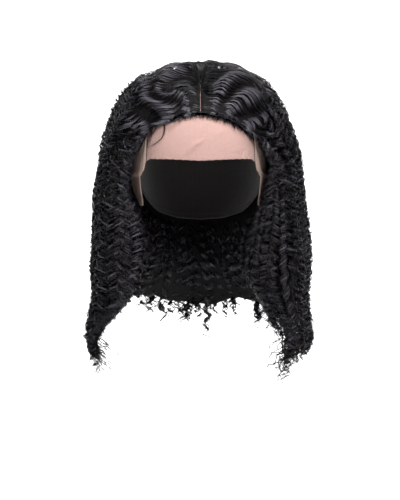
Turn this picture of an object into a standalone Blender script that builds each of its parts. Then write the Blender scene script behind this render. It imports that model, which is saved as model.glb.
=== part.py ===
"""Curly lace front wig in its worn form, at real size, in metres.

The origin is the inside top of the cap, where the crown of the head touches it. +Z is up, the face
looks along -Y, and +X is the wearer's left. Azimuth is counted from the face (-Y) towards +X, and
then on round the back of the head, so 90 is the left ear, 180 the nape and 270 the right ear.

The head form that the cap is stretched over and the outside of the hair are both ovals about one
centre, so every piece is a panel between two radii, swept from a start edge to an end edge.
"""

import math
from collections import namedtuple

import bmesh
import bpy
from mathutils import Vector

# Head form inside the cap: an oval with squared shoulders, wider below the brow than an egg
HEAD_WIDTH = 0.150
HEAD_LENGTH = 0.190
HEAD_CROWN = 0.095
HEAD_NAPE = 0.100
HEAD_POWER = 2.4
CENTRE = Vector((0.0, 0.0, -HEAD_CROWN))

# Cloth walls and the gaps that pieces keep from each other
LACE_WALL = 0.0012
TAB_WALL = 0.0012
SEAM_GAP = 0.0004
TAB_GAP = 0.0009
HAIR_GAP = 0.0016
LINING_GAP = 0.0018

# Outside of the hair above ear level
HAIR_TOP = 0.030
HAIR_POWER = 2.1

# Locks: they run side by side from one edge of the face round the back to the other
FACE_EDGE = 57.0
LOCKS = 22
LOCK_ANGLE = (360.0 - 2 * FACE_EDGE) / LOCKS
TOP_LOCKS = 4
SIDE_LOCKS = 6
WRAP_LOCKS = 2
COLUMNS_PER_LOCK = 3

# Relief of the locks: the groove between two, and the swell and sway of each curl down its length
GROOVE = 0.0060
MEAN_RIDGE = 0.6
CURL_PITCH = 0.026
CURL_RISE = 0.0050
CURL_SWAY = 1.3
SWAY_PITCH = 0.052
SWAY_STEP = 0.9
PHASE_STEP = 2.4
TIP_WEAR = 0.007

# Centre parting
PART_FRONT = -0.084
PART_BACK = -0.008
PART_HALF_GAP = 0.0009
PART_FLAT_WIDTH = 0.024
PART_DEPTH = 0.72
PART_FADE = 0.040
PART_FADE_AHEAD = 0.25
CROWN_RING = 0.002
HAIRLINE_SHARE = 0.60
HAIRLINE_ARCH = 0.13

# Combed hair beside the parting, before its curls start
COMBED_SHARE = 0.45
COMBED_HEIGHT = 0.020

# Ends of the locks
VALLEY_HALF_WIDTH = 0.1
VALLEY_SHORTER = 0.036
FLANK_SHORTER = 0.012
TAPER_START = 0.62
TIP_SHARE = 0.14
TIP_TOWARDS_OUTSIDE = 0.68

# Roll of the hair round its front edge, beside the face
FRONT_TURN = 0.97
FRONT_BULGE = 0.36
FRONT_THICKNESS = 0.030
FRONT_STEP = 0.05
SEAM_STEP = 0.02

Oval = namedtuple("Oval", "height side front back")
Edge = namedtuple("Edge", "azimuth height")

# Outside of the hanging hair, from ear level down
HAIR_OUTSIDE = (
    Oval(height=-0.095, side=0.117, front=0.100, back=0.132),
    Oval(height=-0.130, side=0.123, front=0.102, back=0.133),
    Oval(height=-0.165, side=0.127, front=0.103, back=0.131),
    Oval(height=-0.205, side=0.130, front=0.103, back=0.127),
    Oval(height=-0.245, side=0.132, front=0.102, back=0.124),
    Oval(height=-0.290, side=0.136, front=0.100, back=0.121),
    Oval(height=-0.325, side=0.135, front=0.098, back=0.118),
    Oval(height=-0.365, side=0.126, front=0.094, back=0.112),
)

# Inside of the hanging hair: it clears the ears, closes in behind the jaw and opens over the shoulders
HAIR_INSIDE = (
    Oval(height=-0.095, side=0.0815, front=0.1010, back=0.0975),
    Oval(height=-0.140, side=0.0800, front=0.0990, back=0.0920),
    Oval(height=-0.165, side=0.0690, front=0.0850, back=0.0820),
    Oval(height=-0.200, side=0.0580, front=0.0730, back=0.0740),
    Oval(height=-0.228, side=0.0580, front=0.0730, back=0.0740),
    Oval(height=-0.262, side=0.0740, front=0.0800, back=0.0860),
    Oval(height=-0.300, side=0.0920, front=0.0860, back=0.0980),
    Oval(height=-0.365, side=0.1020, front=0.0880, back=0.1040),
)

# Length of the hair round the wig, with the longest lock at each front corner
HEM = (
    Edge(azimuth=57, height=-0.368),
    Edge(azimuth=68, height=-0.322),
    Edge(azimuth=78, height=-0.318),
    Edge(azimuth=95, height=-0.290),
    Edge(azimuth=125, height=-0.300),
    Edge(azimuth=180, height=-0.314),
    Edge(azimuth=235, height=-0.300),
    Edge(azimuth=265, height=-0.288),
    Edge(azimuth=279, height=-0.306),
    Edge(azimuth=288, height=-0.338),
    Edge(azimuth=303, height=-0.286),
)

# Uncut lower edge of the lace, from the middle of the forehead to the front of the ear
LACE_EDGE = (
    Edge(azimuth=0, height=-0.093),
    Edge(azimuth=22, height=-0.091),
    Edge(azimuth=40, height=-0.090),
    Edge(azimuth=52, height=-0.096),
    Edge(azimuth=62, height=-0.106),
)
# Lower edge of the net cap, from behind the ear to the nape
NAPE_EDGE = (
    Edge(azimuth=98, height=-0.108),
    Edge(azimuth=120, height=-0.130),
    Edge(azimuth=140, height=-0.150),
    Edge(azimuth=160, height=-0.158),
    Edge(azimuth=180, height=-0.160),
)
EAR_TOP_ANGLE = 96.5

# Ear tab: a tongue of doubled lace from the temple to below the ear, sewn over the lace's edge
TAB_TOP_AZIMUTH = 60.0
TAB_TIP_AZIMUTH = 69.0
TAB_TOP_HALF = 13.0
TAB_TIP_HALF = 5.0
TAB_TOP_HEIGHT = -0.066
TAB_TIP_HEIGHT = -0.140
TAB_PLEAT = 0.0010
TAB_PLEAT_WAVES = 0.75

# Facets
LACE_COLUMNS = 20
LACE_ROWS = 9
CAP_COLUMNS = 18
CAP_ROWS = 9
TAB_COLUMNS = 6
TAB_ROWS = 7
TOP_ROWS = 19
CROWN_ROWS = 18
SEAT_ROWS = 14
HANGING_ROWS = 32
LINING_ROWS = 12
SHARP_ANGLE = 50.0

# Colours read from the photo, as linear RGB, with roughness
BLACK_HAIR = ((0.010, 0.009, 0.011), 0.38)
SHEER_LACE = ((0.600, 0.400, 0.320), 0.75)
TAB_LACE = ((0.330, 0.230, 0.160), 0.75)
BLACK_NET = ((0.020, 0.017, 0.017), 0.80)


def smooth(value):
    """0 below 0, 1 above 1, and an even ease between."""
    value = min(1.0, max(0.0, value))
    return value * value * (3 - 2 * value)


def mix(a, b, share):
    return a + (b - a) * share


def table_at(rows, key, value):
    """The row of a table at a value of its first column, mixed from the rows on each side."""
    ordered = sorted(rows, key=lambda row: row[0])
    for low, high in zip(ordered, ordered[1:]):
        if value <= high[0]:
            break
    share = min(1.0, max(0.0, (value - low[0]) / (high[0] - low[0])))
    mixed = type(low)(*(mix(a, b, share) for a, b in zip(low, high)))
    return mixed if key is None else getattr(mixed, key)


def flat_direction(azimuth):
    angle = math.radians(azimuth)
    return Vector((math.sin(angle), -math.cos(angle), 0.0))


def oval_radius(direction, side, front, back, above, below, power):
    """Distance from the centre to a squared oval, along a unit direction."""
    along = front if direction.y < 0 else back
    upright = above if direction.z > 0 else below
    total = abs(direction.x / side) ** power
    total += abs(direction.y / along) ** power
    total += abs(direction.z / upright) ** power
    return total ** (-1 / power)


def head_radius(direction):
    half_length = HEAD_LENGTH / 2
    return oval_radius(
        direction, HEAD_WIDTH / 2, half_length, half_length, HEAD_CROWN, HEAD_NAPE, HEAD_POWER
    )


def ear_radius(direction):
    """Oval that opens the underside of the hair over the ear tabs, towards ear level."""
    clear = HAIR_INSIDE[0]
    above = HEAD_CROWN + LACE_WALL + HAIR_GAP
    return oval_radius(
        direction, clear.side, clear.front, clear.back, above, above, HEAD_POWER
    )


def hair_radius(direction):
    """Outside of the hair above ear level, which meets the hanging hair at the centre's height."""
    ear_level = HAIR_OUTSIDE[0]
    above = HEAD_CROWN + HAIR_TOP
    return oval_radius(
        direction, ear_level.side, ear_level.front, ear_level.back, above, above, HAIR_POWER
    )


def on_head(azimuth, height):
    """Direction from the centre to the head form at an azimuth and a height."""
    flat = flat_direction(azimuth)
    lift = height - CENTRE.z
    reach = 1.0 if lift > 0 else HEAD_CROWN / HEAD_NAPE
    share = max(0.0, 1 - (abs(lift) * reach / HEAD_CROWN) ** HEAD_POWER) ** (1 / HEAD_POWER)
    return (flat * head_radius(flat) * share + Vector((0, 0, lift))).normalized()


def head_reach(way, height):
    """Distance out from the upright axis to the head form, below the centre."""
    share = max(0.0, 1 - ((CENTRE.z - height) / HEAD_NAPE) ** HEAD_POWER) ** (1 / HEAD_POWER)
    return head_radius(way) * share


def arc(start, end, share):
    """Direction part of the way along the shortest arc between two directions."""
    return start.slerp(end, share)


def zipped(left, right):
    """Triangles between two edges that may have different numbers of points."""
    faces = []
    i, j = 0, 0
    while i < len(left) - 1 or j < len(right) - 1:
        left_next = (i + 1) / (len(left) - 1) if i < len(left) - 1 else math.inf
        right_next = (j + 1) / (len(right) - 1) if j < len(right) - 1 else math.inf
        if left_next <= right_next:
            faces.append((left[i], left[i + 1], right[j]))
            i += 1
        else:
            faces.append((left[i], right[j + 1], right[j]))
            j += 1
    return faces


def material(name, colour, roughness):
    made = bpy.data.materials.get(name) or bpy.data.materials.new(name)
    made.use_nodes = True
    shader = made.node_tree.nodes["Principled BSDF"]
    shader.inputs["Base Color"].default_value = (*colour, 1.0)
    shader.inputs["Roughness"].default_value = roughness
    shader.inputs["Metallic"].default_value = 0.0
    return made


def panel(name, outside, inside, finish_name, finish):
    """One closed wall from two grids of points, each a list of rows from the top edge to the hem."""
    mesh = bpy.data.meshes.new(name)
    body = bmesh.new()
    outer = [[body.verts.new(point) for point in row] for row in outside]
    inner = [[body.verts.new(point) for point in row] for row in inside]
    for grid in (outer, inner):
        for upper, lower in zip(grid, grid[1:]):
            for i in range(len(upper) - 1):
                body.faces.new((upper[i], upper[i + 1], lower[i + 1], lower[i]))
    rims = [
        (outer[0], inner[0]),
        (outer[-1], inner[-1]),
        ([row[0] for row in outer], [row[0] for row in inner]),
        ([row[-1] for row in outer], [row[-1] for row in inner]),
    ]
    for outer_rim, inner_rim in rims:
        for corners in zipped(outer_rim, inner_rim):
            body.faces.new(corners)
    bmesh.ops.triangulate(body, faces=body.faces[:])
    bmesh.ops.recalc_face_normals(body, faces=body.faces[:])
    body.to_mesh(mesh)
    body.free()
    mesh.materials.append(material(finish_name, *finish))
    made = bpy.data.objects.new(name, mesh)
    bpy.context.scene.collection.objects.link(made)
    mesh.shade_smooth()
    mesh.set_sharp_from_angle(angle=math.radians(SHARP_ANGLE))
    return made


def fitted_panel(name, starts, ends, rows, wall, finish_name, finish):
    """A cloth wall on the head form, between the directions of its two edges."""
    shares = [row / rows for row in range(rows + 1)]
    sweep = [[arc(start, end, share) for start, end in zip(starts, ends)] for share in shares]

    def grid(offset):
        return [[CENTRE + way * (head_radius(way) + offset) for way in row] for row in sweep]

    return panel(name, grid(wall), grid(0.0), finish_name, finish)


def seam_direction(across, side_of_seam):
    """Direction to the ear-to-ear seam over the crown; across runs from -1 at one ear to 1."""
    angle = math.radians(EAR_TOP_ANGLE * across)
    step = side_of_seam * SEAM_GAP / 2 / HEAD_CROWN
    return Vector((math.sin(angle), step, math.cos(angle))).normalized()


def spread(count):
    """Even steps from -1 to 1."""
    return [2 * i / count - 1 for i in range(count + 1)]


def make_lace_front():
    """Sheer lace from the ear-to-ear seam to its uncut edge above the brows."""
    starts, ends = [], []
    for across in spread(LACE_COLUMNS):
        azimuth = LACE_EDGE[-1].azimuth * across
        starts.append(seam_direction(across, -1))
        ends.append(on_head(azimuth, table_at(LACE_EDGE, "height", abs(azimuth))))
    return fitted_panel("lace_front", starts, ends, LACE_ROWS, LACE_WALL, "lace", SHEER_LACE)


def make_crown_cap():
    """Stretch net over the back of the head, from the seam to the nape."""
    starts, ends = [], []
    for across in spread(CAP_COLUMNS):
        behind = mix(180.0, NAPE_EDGE[0].azimuth, abs(across))
        height = table_at(NAPE_EDGE, "height", behind)
        starts.append(seam_direction(across, 1))
        ends.append(on_head(math.copysign(behind, across), height))
    return fitted_panel("crown_cap", starts, ends, CAP_ROWS, LACE_WALL, "net", BLACK_NET)


def make_ear_tab(name, side):
    """Tongue of lace with one soft pleat, sewn over the lace's edge in front of an ear."""
    over_lace = LACE_WALL + TAB_GAP

    def grid(offset):
        rows = []
        for row in range(TAB_ROWS + 1):
            down = row / TAB_ROWS
            half = mix(TAB_TOP_HALF, TAB_TIP_HALF, smooth(down))
            points = []
            for across in spread(TAB_COLUMNS):
                azimuth = mix(TAB_TOP_AZIMUTH, TAB_TIP_AZIMUTH, down) + half * across
                way = on_head(azimuth, mix(TAB_TOP_HEIGHT, TAB_TIP_HEIGHT, down))
                pleat = TAB_PLEAT * math.cos(2 * math.pi * TAB_PLEAT_WAVES * across) * down
                point = CENTRE + way * (head_radius(way) + over_lace + pleat + offset)
                points.append(Vector((point.x * side, point.y, point.z)))
            rows.append(points)
        return rows

    return panel(name, grid(TAB_WALL), grid(0.0), "ear_tab", TAB_LACE)


def azimuth_of(lock):
    return FACE_EDGE + lock * LOCK_ANGLE


def curl_relief(lock, path):
    """How far a lock stands out: a groove between locks, and a swell at each turn of its curl."""
    index = math.floor(lock)
    ridge = math.sin(math.pi * (lock - index))
    turn = math.sin(2 * math.pi * path / CURL_PITCH + PHASE_STEP * index)
    return GROOVE * (ridge - MEAN_RIDGE) + CURL_RISE * turn * ridge


def swayed(lock, path):
    """Azimuth of a lock's line, which wanders from side to side down its length."""
    sway = CURL_SWAY * math.sin(2 * math.pi * path / SWAY_PITCH + SWAY_STEP * lock)
    edge = smooth(min(lock, LOCKS - lock))
    return azimuth_of(lock) + sway * edge


def root_direction(lock):
    """Direction to where a lock leaves the head: along the parting, or round the crown behind it."""
    from_end = min(lock, LOCKS - lock)
    if from_end <= TOP_LOCKS:
        forward = mix(PART_FRONT, PART_BACK, from_end / TOP_LOCKS)
        across = math.copysign(PART_HALF_GAP, LOCKS / 2 - lock)
    else:
        ring = flat_direction(azimuth_of(lock)) * CROWN_RING
        forward, across = PART_BACK + ring.y, ring.x
    rise = (1 - (abs(forward) / (HEAD_LENGTH / 2)) ** HEAD_POWER) ** (1 / HEAD_POWER)
    return Vector((across, forward, HEAD_CROWN * rise)).normalized()


def parting_share(direction):
    """Share of the full hair height, which is low along the parting and full behind it."""
    across = direction.x * HEAD_CROWN
    forward = direction.y * HEAD_CROWN
    near = math.exp(-((across / PART_FLAT_WIDTH) ** 2))
    in_front = smooth((PART_BACK - forward) / PART_FADE + PART_FADE_AHEAD)
    return 1 - PART_DEPTH * near * in_front


def seated_point(lock, share, offset_share):
    """A point in the hair on the cap, from its seat (0) to its outside (1)."""
    near_face = smooth(min(lock, LOCKS - lock))
    end = flat_direction(swayed(lock, CENTRE.z))
    start = root_direction(lock)
    way = arc(start, end, share)
    from_parting = min(1.0, min(lock, LOCKS - lock) / TOP_LOCKS)
    way.z += HAIRLINE_ARCH * (1 - from_parting) * math.sin(math.pi * share)
    way.normalize()
    length = start.angle(end) * HEAD_CROWN
    path = CENTRE.z + (1 - share) * length
    seat = mix(head_radius(way) + LACE_WALL + HAIR_GAP, ear_radius(way), smooth(2 * share - 1))
    hairline = mix(mix(HAIRLINE_SHARE, 1.0, smooth(share)), 1.0, near_face)
    height = (hair_radius(way) - seat) * parting_share(way) * hairline
    calm = smooth(share / COMBED_SHARE) * min(1.0, height / COMBED_HEIGHT)
    height += curl_relief(lock, path) * calm * offset_share
    return CENTRE + way * (seat + height * offset_share)


def hem_height(lock):
    """Height of a column's end: long down the middle of a lock and short between two."""
    index = math.floor(lock)
    within = lock - index
    end = table_at(HEM, "height", min(max(azimuth_of(lock), FACE_EDGE), 360 - FACE_EDGE))
    end += TIP_WEAR * math.sin(PHASE_STEP * index)
    if min(within, 1 - within) < VALLEY_HALF_WIDTH:
        return end + VALLEY_SHORTER
    return end + (FLANK_SHORTER if within > 0.5 else 0.0)


def hanging_point(lock, share, offset_share):
    """A point in the hanging hair, from its inside (0) to its outside (1)."""
    top = CENTRE.z - SEAM_GAP
    height = mix(top, hem_height(lock), share)
    way = flat_direction(swayed(lock, height))
    outer, inner = (table_at(rows, None, height) for rows in (HAIR_OUTSIDE, HAIR_INSIDE))
    outside = oval_radius(way, outer.side, outer.front, outer.back, 1, 1, HAIR_POWER)
    inside = oval_radius(way, inner.side, inner.front, inner.back, 1, 1, HEAD_POWER)
    inside = max(inside, head_reach(way, height) + LACE_WALL + LINING_GAP)
    outside += curl_relief(lock, height)
    middle = mix(inside, outside, TIP_TOWARDS_OUTSIDE)
    full = mix(1.0, TIP_SHARE, smooth((share - TAPER_START) / (1 - TAPER_START)))
    radius = mix(mix(middle, inside, full), mix(middle, outside, full), offset_share)
    return Vector((way.x * radius, way.y * radius, height))


def wrapped(point_at, lock, share):
    """The outside of the hair, which past the first and last lock turns in round the front edge."""
    edge = min(max(lock, 0.0), float(LOCKS))
    past = abs(lock - edge) / WRAP_LOCKS
    if not past:
        return point_at(lock, share, 1.0)
    inwards = math.copysign(FRONT_STEP, -lock)
    inside, outside = point_at(edge, share, 0.0), point_at(edge, share, 1.0)
    beside = point_at(edge + inwards, share, 0.5)
    middle = (inside + outside) / 2
    forward = (point_at(edge, share, 0.5) - beside).normalized()
    turn = math.pi * past * FRONT_TURN
    thick = (outside - inside).length
    height = middle.z
    swell = curl_relief(lock, height) * min(1.0, thick / FRONT_THICKNESS)
    bulge = thick * FRONT_BULGE + swell
    return middle + (outside - middle) * math.cos(turn) + forward * bulge * math.sin(turn)


def lock_columns(first, last, per_lock):
    count = round((last - first) * per_lock)
    return [first + i / per_lock for i in range(count + 1)]


def parted(point_at, lock, share, first, last):
    """A point moved half a seam gap inwards where its column is shared with the next piece."""
    point = point_at(lock, share)
    step = {first: 1, last: -1}.get(lock, 0)
    if not step or lock in (-WRAP_LOCKS, LOCKS + WRAP_LOCKS):
        return point
    beside = point_at(lock + step * SEAM_STEP, share)
    return point + (beside - point).normalized() * SEAM_GAP / 2


def hair_piece(name, point_at, first, last, outer_rows, inner_rows):
    """Locks side by side, fused along their length, between two lock numbers."""

    def outside(lock, share):
        return wrapped(point_at, lock, share)

    def inside(lock, share):
        return point_at(min(max(lock, 0.0), float(LOCKS)), share, 0.0)

    outer_columns = lock_columns(first, last, COLUMNS_PER_LOCK)
    inner_columns = lock_columns(max(first, 0), min(last, LOCKS), 1)

    def grid(place, columns, rows, start, end):
        return [
            [parted(place, lock, row / rows, start, end) for lock in columns]
            for row in range(rows + 1)
        ]

    outer_grid = grid(outside, outer_columns, outer_rows, first, last)
    ends = {edge for edge in (first, last) if 0 < edge < LOCKS}
    inner_start = first if first in ends else None
    inner_end = last if last in ends else None
    inner_grid = grid(inside, inner_columns, inner_rows, inner_start, inner_end)
    return panel(name, outer_grid, inner_grid, "hair", BLACK_HAIR)


def make_hair():
    front, back = -WRAP_LOCKS, LOCKS + WRAP_LOCKS
    hair_piece("hair_top_left", seated_point, front, TOP_LOCKS, TOP_ROWS, SEAT_ROWS)
    hair_piece("hair_top_right", seated_point, LOCKS - TOP_LOCKS, back, TOP_ROWS, SEAT_ROWS)
    hair_piece("hair_crown", seated_point, TOP_LOCKS, LOCKS - TOP_LOCKS, CROWN_ROWS, SEAT_ROWS)
    hair_piece("hair_side_left", hanging_point, front, SIDE_LOCKS, HANGING_ROWS, LINING_ROWS)
    hair_piece("hair_side_right", hanging_point, LOCKS - SIDE_LOCKS, back, HANGING_ROWS, LINING_ROWS)
    hair_piece("hair_back", hanging_point, SIDE_LOCKS, LOCKS - SIDE_LOCKS, HANGING_ROWS, LINING_ROWS)


def clear_scene():
    for old in list(bpy.data.objects):
        bpy.data.objects.remove(old, do_unlink=True)


clear_scene()
make_lace_front()
make_crown_cap()
make_ear_tab("ear_tab_left", 1)
make_ear_tab("ear_tab_right", -1)
make_hair()
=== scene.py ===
import math
from collections import namedtuple

import bpy
import numpy as np
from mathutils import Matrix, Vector
from mathutils.bvhtree import BVHTree


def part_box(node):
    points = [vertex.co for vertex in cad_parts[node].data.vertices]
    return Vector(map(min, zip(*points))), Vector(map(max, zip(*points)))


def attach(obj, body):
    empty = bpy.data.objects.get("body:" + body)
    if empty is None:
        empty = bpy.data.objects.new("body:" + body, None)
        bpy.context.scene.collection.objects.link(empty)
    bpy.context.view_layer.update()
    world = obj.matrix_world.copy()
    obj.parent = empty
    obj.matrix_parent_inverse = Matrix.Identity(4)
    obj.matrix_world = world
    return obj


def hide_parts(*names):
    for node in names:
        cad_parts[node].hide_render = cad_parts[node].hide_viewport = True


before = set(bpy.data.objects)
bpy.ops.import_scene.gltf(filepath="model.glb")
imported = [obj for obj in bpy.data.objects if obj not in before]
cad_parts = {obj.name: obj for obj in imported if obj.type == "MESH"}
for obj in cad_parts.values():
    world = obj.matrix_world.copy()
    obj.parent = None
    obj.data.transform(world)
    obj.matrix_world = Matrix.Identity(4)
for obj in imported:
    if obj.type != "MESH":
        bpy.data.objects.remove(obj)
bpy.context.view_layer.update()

# Lace front
# The real one is a sheet of sheer knotted lace, glued to the forehead and left uncut at its lower edge.
# It runs from the seam over the crown, ear to ear, and two soft creases show where it was folded.
LACE_THICK = 0.0003
LACE_COLUMNS = 110
LACE_ROWS = 64
LACE_ROWS_CROWD = 0.8
HEAD_POWER = 2.4
EAR_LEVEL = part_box("hair_back")[1].z
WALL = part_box("lace_front")[1].z
HEAD_HALF_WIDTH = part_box("lace_front")[1].x - WALL
HEAD_HALF_LENGTH = -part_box("lace_front")[0].y - WALL
HEAD_ABOVE = -EAR_LEVEL
HEAD_BELOW = 0.100
EAR_TOP_ANGLE = 96.5
LACE_EDGE_AZIMUTH = (0, 22, 40, 52, 62)
LACE_EDGE_HEIGHT = (-0.093, -0.091, -0.090, -0.096, -0.106)
LACE_EDGE_RIPPLE = 0.0006
RIPPLE_FAST = 1.7
RIPPLE_SLOW = 0.45
CREASES = (
    ((-0.0186, -0.0876), (-0.0054, -0.0744), (0.0072, -0.0672)),
    ((0.0160, -0.0700), (0.0196, -0.0648), (0.0270, -0.0564)),
)
CREASE_HEIGHTS = (0.0021, 0.0012)
CREASE_WIDTH = 0.0016
CREASE_MARKS = 40
CREASE_ENDS = (0.04, 0.96)
LACE_COLOUR = (0.34, 0.205, 0.180)
LACE_THREAD = (0.46, 0.305, 0.270)
NET_CELL = 0.0011
NET_UNEVEN = 0.35
NET_WEB = 6.0
NET_RELIEF = 0.0002
CLOUD_SCALE = 55.0


class Signal:
    """A shader socket that works in Python's arithmetic: each operator adds its Math node."""

    def __init__(self, finish, socket):
        self.finish, self.socket = finish, socket

    def maths(self, operation, *values):
        return self.finish.node("ShaderNodeMath", {"operation": operation}, dict(enumerate(values)))

    def __add__(self, other):
        return self.maths("ADD", self, other)

    def __sub__(self, other):
        return self.maths("SUBTRACT", self, other)

    def __rsub__(self, other):
        return self.maths("SUBTRACT", other, self)

    def __mul__(self, other):
        return self.maths("MULTIPLY", self, other)

    def fraction(self):
        return self.maths("FRACT", self)

    __radd__ = __add__
    __rmul__ = __mul__


class Finish:
    """One material on a Principled shader, and the one method that adds any other node to it."""

    def __init__(self, name, constants):
        self.material = bpy.data.materials.new(name)
        self.material.use_nodes = True
        self.tree = self.material.node_tree
        self.shader = self.tree.nodes["Principled BSDF"]
        self.feed(self.shader, constants)

    def feed(self, node, values):
        for socket, value in values.items():
            if isinstance(value, Signal):
                self.tree.links.new(value.socket, node.inputs[socket])
            else:
                node.inputs[socket].default_value = value

    def node(self, kind, settings, values, result=0):
        made = self.tree.nodes.new(kind)
        for setting, value in settings.items():
            setattr(made, setting, value)
        self.feed(made, values)
        return Signal(self, made.outputs[result])

    def blend(self, share, low, high):
        colours = {0: share, 6: (*low, 1.0), 7: (*high, 1.0)}
        return self.node("ShaderNodeMix", {"data_type": "RGBA"}, colours, 2)

    def bump(self, height, strength, distance):
        values = {"Strength": strength, "Distance": distance, "Height": height}
        return self.node("ShaderNodeBump", {}, values)


def head_radius(ways):
    """Distance from the middle of the head to the head form, along unit directions."""
    upright = np.where(ways[..., 2] > 0, HEAD_ABOVE, HEAD_BELOW)
    total = np.abs(ways[..., 0] / HEAD_HALF_WIDTH) ** HEAD_POWER
    total += np.abs(ways[..., 1] / HEAD_HALF_LENGTH) ** HEAD_POWER
    total += np.abs(ways[..., 2] / upright) ** HEAD_POWER
    return total ** (-1 / HEAD_POWER)


def unit(vectors):
    return vectors / np.linalg.norm(vectors, axis=-1, keepdims=True)


def flat_way(azimuth):
    """Level directions for azimuths in degrees, counted from the face towards the wearer's left."""
    angle = np.radians(azimuth)
    return np.stack([np.sin(angle), -np.cos(angle), np.zeros_like(angle)], -1)


def way_on_head(azimuth, height):
    """Directions from the middle of the head to the head form, at azimuths and heights."""
    flat = flat_way(np.asarray(azimuth, float))
    lift = np.asarray(height, float) - EAR_LEVEL
    reach = np.abs(lift) / np.where(lift > 0, HEAD_ABOVE, HEAD_BELOW)
    share = np.clip(1 - reach**HEAD_POWER, 0, 1) ** (1 / HEAD_POWER)
    ways = flat * (head_radius(flat) * share)[..., None]
    ways[..., 2] = lift
    return unit(ways)


def slerp(start, end, share):
    """Directions part of the way along the arcs between two rows of directions."""
    angle = np.arccos(np.clip((start * end).sum(-1, keepdims=True), -1, 1))
    angle = np.maximum(angle, 1e-6)
    return (np.sin((1 - share) * angle) * start + np.sin(share * angle) * end) / np.sin(angle)


def seam_ways(across):
    angle = np.radians(EAR_TOP_ANGLE) * across
    return np.stack([np.sin(angle), np.zeros_like(angle), np.cos(angle)], -1)


def on_cloth(ways, lift):
    """Points at a height above the head form."""
    reach = head_radius(ways) + lift
    points = ways * np.asarray(reach)[..., None]
    points[..., 2] += EAR_LEVEL
    return points


def along_rows(points):
    """Lengths measured along each line of a grid of points, from its start."""
    steps = np.linalg.norm(np.diff(points, axis=0), axis=-1)
    return np.concatenate([np.zeros((1, *steps.shape[1:])), np.cumsum(steps, 0)])


def cloth_piece(name, grid, thick, finish):
    """A sheet of quads through a grid of points, with its UV map in metres, given its thickness."""
    rows, columns = grid.shape[:2]
    down = along_rows(grid)
    across = along_rows(grid.swapaxes(0, 1)).T
    across -= across[:, -1:] / 2
    number = np.arange(rows * columns).reshape(rows, columns)
    faces = np.stack([number[:-1, :-1], number[1:, :-1], number[1:, 1:], number[:-1, 1:]], -1)
    faces = faces.reshape(-1, 4)
    mesh = bpy.data.meshes.new(name)
    mesh.from_pydata(grid.reshape(-1, 3).tolist(), [], faces.tolist())
    places = np.stack([across, down], -1).reshape(-1, 2)[faces.reshape(-1)]
    mesh.uv_layers.new(name="cut").data.foreach_set("uv", places.astype(np.float32).ravel())
    mesh.materials.append(finish)
    mesh.shade_smooth()
    piece = bpy.data.objects.new(name, mesh)
    bpy.context.scene.collection.objects.link(piece)
    solid = piece.modifiers.new("thickness", "SOLIDIFY")
    solid.thickness, solid.offset = thick, 0
    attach(piece, "root")
    return piece


def grid_area(grid):
    """Area of a grid of points, from the diagonals of its quads."""
    first, second = grid[1:, 1:] - grid[:-1, :-1], grid[1:, :-1] - grid[:-1, 1:]
    return float(np.linalg.norm(np.cross(first, second), axis=-1).sum() / 2)


def net_finish(name, ground, thread, cell, hole_alpha, roughness):
    """Knotted net: a web of threads round small six-sided holes, on the cloth's own UV map."""
    net = Finish(name, {"Metallic": 0.0, "Specular IOR Level": 0.25, "Sheen Weight": 0.15})
    cut = net.node("ShaderNodeUVMap", {"uv_map": "cut"}, {})
    cells = {"Vector": cut, "Scale": 1 / cell, "Randomness": NET_UNEVEN}
    edge = net.node("ShaderNodeTexVoronoi", {"feature": "DISTANCE_TO_EDGE"}, cells)
    web = 1 - net.node("ShaderNodeMath", {"operation": "MINIMUM"}, {0: edge * NET_WEB, 1: 1.0})
    cloud = net.node("ShaderNodeTexNoise", {}, {"Vector": cut, "Scale": CLOUD_SCALE, "Detail": 3.0})
    tone = net.node("ShaderNodeMath", {"operation": "MULTIPLY"}, {0: web, 1: cloud * 0.5 + 0.75})
    net.feed(
        net.shader,
        {
            "Base Color": net.blend(tone, ground, thread),
            "Roughness": cloud * 0.2 + roughness,
            "Alpha": web * (1 - hole_alpha) + hole_alpha,
            "Normal": net.bump(web, 0.5, NET_RELIEF),
        },
    )
    return net.material


def crease_lift(points):
    """Height of the creases at points of the lace, seen from the front."""
    lift = np.zeros(points.shape[:-1])
    flat = points[..., [0, 2]]
    for line, height in zip(CREASES, CREASE_HEIGHTS):
        route = np.array(line)
        steps = np.linspace(0, len(route) - 1, CREASE_MARKS)
        marks = np.stack([np.interp(steps, range(len(route)), route[:, k]) for k in (0, 1)], -1)
        gaps = np.linalg.norm(flat[..., None, :] - marks, axis=-1)
        fade = np.sin(np.pi * np.clip(steps / (len(route) - 1), *CREASE_ENDS))
        lift = np.maximum(lift, (height * fade * np.exp(-((gaps / CREASE_WIDTH) ** 2))).max(-1))
    return lift * (points[..., 1] < 0)


lace_across = np.linspace(-1, 1, LACE_COLUMNS)
lace_azimuth = lace_across * LACE_EDGE_AZIMUTH[-1]
lace_hem = np.interp(abs(lace_azimuth), LACE_EDGE_AZIMUTH, LACE_EDGE_HEIGHT)
lace_hem += LACE_EDGE_RIPPLE * np.sin(lace_azimuth * RIPPLE_FAST) * np.sin(lace_azimuth * RIPPLE_SLOW + 1)
lace_share = np.linspace(0, 1, LACE_ROWS) ** LACE_ROWS_CROWD
lace_ways = slerp(seam_ways(lace_across), way_on_head(lace_azimuth, lace_hem), lace_share[:, None, None])
lace_grid = on_cloth(lace_ways, WALL / 2)
lace_grid = on_cloth(lace_ways, WALL / 2 + crease_lift(lace_grid))
lace_finish = net_finish("sheer_lace", LACE_COLOUR, LACE_THREAD, NET_CELL, hole_alpha=0.50, roughness=0.62)
lace = cloth_piece("lace", lace_grid, LACE_THICK, lace_finish)
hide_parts("lace_front")
grid_area(lace_grid)

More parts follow.
